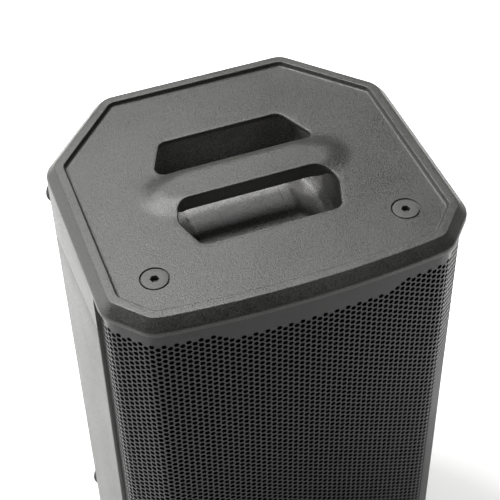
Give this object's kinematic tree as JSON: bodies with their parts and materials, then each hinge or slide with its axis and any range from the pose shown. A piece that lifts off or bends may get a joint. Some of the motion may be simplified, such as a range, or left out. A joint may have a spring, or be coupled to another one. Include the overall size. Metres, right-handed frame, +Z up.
{
  "type": "powered loudspeaker",
  "caption": "Moulded octagonal PA loudspeaker cabinet with a wrapped perforated grille, a carrying handle in its recessed top, a pole socket and a recessed rear control panel.",
  "frame": {"origin": "middle of the bounding box in plan, at the level of the base feet", "axes": "+Z up, -Y is the grille front, +X is the right-hand side seen from the front"},
  "size_m": [0.29, 0.2668, 0.49],
  "materials": {
    "shell_plastic": "fine texture moulded polypropylene",
    "base_plastic": "fine texture moulded polypropylene",
    "cup_plastic": "fine texture moulded polypropylene",
    "black_plastic": "moulded black plastic",
    "tray_plastic": "fine texture moulded polypropylene",
    "grille_steel": "black powder coat",
    "foam": "black open-cell foam",
    "screw_steel": "grey coated steel",
    "zinc_steel": "zinc plated",
    "rubber": "matt rubber",
    "basket_steel": "black powder coat",
    "surround_rubber": "matt rubber",
    "spider_cloth": "treated cloth",
    "cone_paper": "coated paper pulp",
    "copper": "enamelled winding",
    "ferrite": "ferrite ceramic",
    "panel_steel": "fine texture black powder coat",
    "sink_aluminium": "black anodised",
    "circuit_board": "solder resist",
    "capacitor_sleeve": "shrunk sleeve",
    "socket_plastic": "moulded black plastic",
    "nickel": "nickel plated",
    "display_plastic": "gloss window",
    "green_lens": "lens",
    "red_lens": "lens",
    "knob_plastic": "soft-touch black plastic",
    "button_rubber": "matt rubber",
    "rocker_plastic": "gloss black plastic"
  },
  "bodies": {
    "cabinet": {"top_cap": "shell_plastic", "cabinet_shell": "shell_plastic", "base_cap": "base_plastic", "handle_cup": "cup_plastic", "front_baffle": "black_plastic", "grille": "grille_steel", "grille_foam": "foam", "pole_socket": "black_plastic", "top_screw_left": "screw_steel", "top_screw_right": "screw_steel", "fixing_block_left": "zinc_steel", "fixing_block_right": "zinc_steel", "base_foot_front_left": "rubber", "base_foot_front_right": "rubber", "base_foot_rear_left": "rubber", "base_foot_rear_right": "rubber", "monitor_foot_side_upper": "rubber", "monitor_foot_side_lower": "rubber", "monitor_foot_back_upper": "rubber", "monitor_foot_back_lower": "rubber", "port_tube_left": "black_plastic", "port_tube_right": "black_plastic", "woofer_basket": "basket_steel", "woofer_surround": "surround_rubber", "woofer_spider": "spider_cloth", "woofer_top_plate": "zinc_steel", "woofer_magnet": "ferrite", "woofer_back_plate": "zinc_steel", "horn": "black_plastic", "compression_driver": "basket_steel", "driver_cover": "black_plastic", "control_tray": "tray_plastic", "amp_panel": "panel_steel", "heat_sink": "sink_aluminium", "amp_board": "circuit_board", "power_supply": "zinc_steel", "capacitor_1": "capacitor_sleeve", "capacitor_2": "capacitor_sleeve", "combo_input_1": "socket_plastic", "combo_input_2": "socket_plastic", "link_output": "socket_plastic", "aux_socket": "nickel", "display_window": "display_plastic", "power_light": "green_lens", "limit_light": "red_lens", "mains_inlet": "socket_plastic", "rocker_frame": "socket_plastic"},
    "woofer_piston": {"woofer_cone": "cone_paper", "woofer_dust_cap": "cone_paper", "woofer_voice_coil": "copper"},
    "level_knob_1": {"level_knob_1": "knob_plastic"},
    "level_knob_2": {"level_knob_2": "knob_plastic"},
    "menu_encoder": {"menu_encoder": "knob_plastic"},
    "menu_button_1": {"menu_button_1": "button_rubber"},
    "menu_button_2": {"menu_button_2": "button_rubber"},
    "latch_tab_1": {"latch_tab_1": "nickel"},
    "latch_tab_2": {"latch_tab_2": "nickel"},
    "power_rocker": {"power_rocker": "rocker_plastic"}
  },
  "joints": [
    {"name": "woofer_travel", "type": "slide", "parent": "cabinet", "child": "woofer_piston", "axis": [0, -1, 0], "range_m": [-0.004, 0.004], "stiffness_N_per_m": 2500, "deforming": ["woofer_surround", "woofer_spider"]},
    {"name": "level_turn_1", "type": "hinge", "parent": "cabinet", "child": "level_knob_1", "pos_m": [-0.04, 0.1179, 0.268], "axis": [0, 1, 0], "range_deg": [-150, 150]},
    {"name": "level_turn_2", "type": "hinge", "parent": "cabinet", "child": "level_knob_2", "pos_m": [0, 0.1179, 0.268], "axis": [0, 1, 0], "range_deg": [-150, 150]},
    {"name": "menu_turn", "type": "hinge", "parent": "cabinet", "child": "menu_encoder", "pos_m": [0.036, 0.1179, 0.372], "axis": [0, 1, 0], "continuous": true},
    {"name": "menu_press_1", "type": "slide", "parent": "cabinet", "child": "menu_button_1", "axis": [0, -1, 0], "range_m": [0, 0.0015], "stiffness_N_per_m": 400, "springref_m": -0.001},
    {"name": "menu_press_2", "type": "slide", "parent": "cabinet", "child": "menu_button_2", "axis": [0, -1, 0], "range_m": [0, 0.0015], "stiffness_N_per_m": 400, "springref_m": -0.001},
    {"name": "latch_press_1", "type": "slide", "parent": "cabinet", "child": "latch_tab_1", "axis": [0, -1, 0], "range_m": [0, 0.0012], "stiffness_N_per_m": 600, "springref_m": -0.001},
    {"name": "latch_press_2", "type": "slide", "parent": "cabinet", "child": "latch_tab_2", "axis": [0, -1, 0], "range_m": [0, 0.0012], "stiffness_N_per_m": 600, "springref_m": -0.001},
    {"name": "power_rock", "type": "hinge", "parent": "cabinet", "child": "power_rocker", "pos_m": [0.034, 0.1161, 0.13], "axis": [1, 0, 0], "range_deg": [-18, 0]}
  ]
}
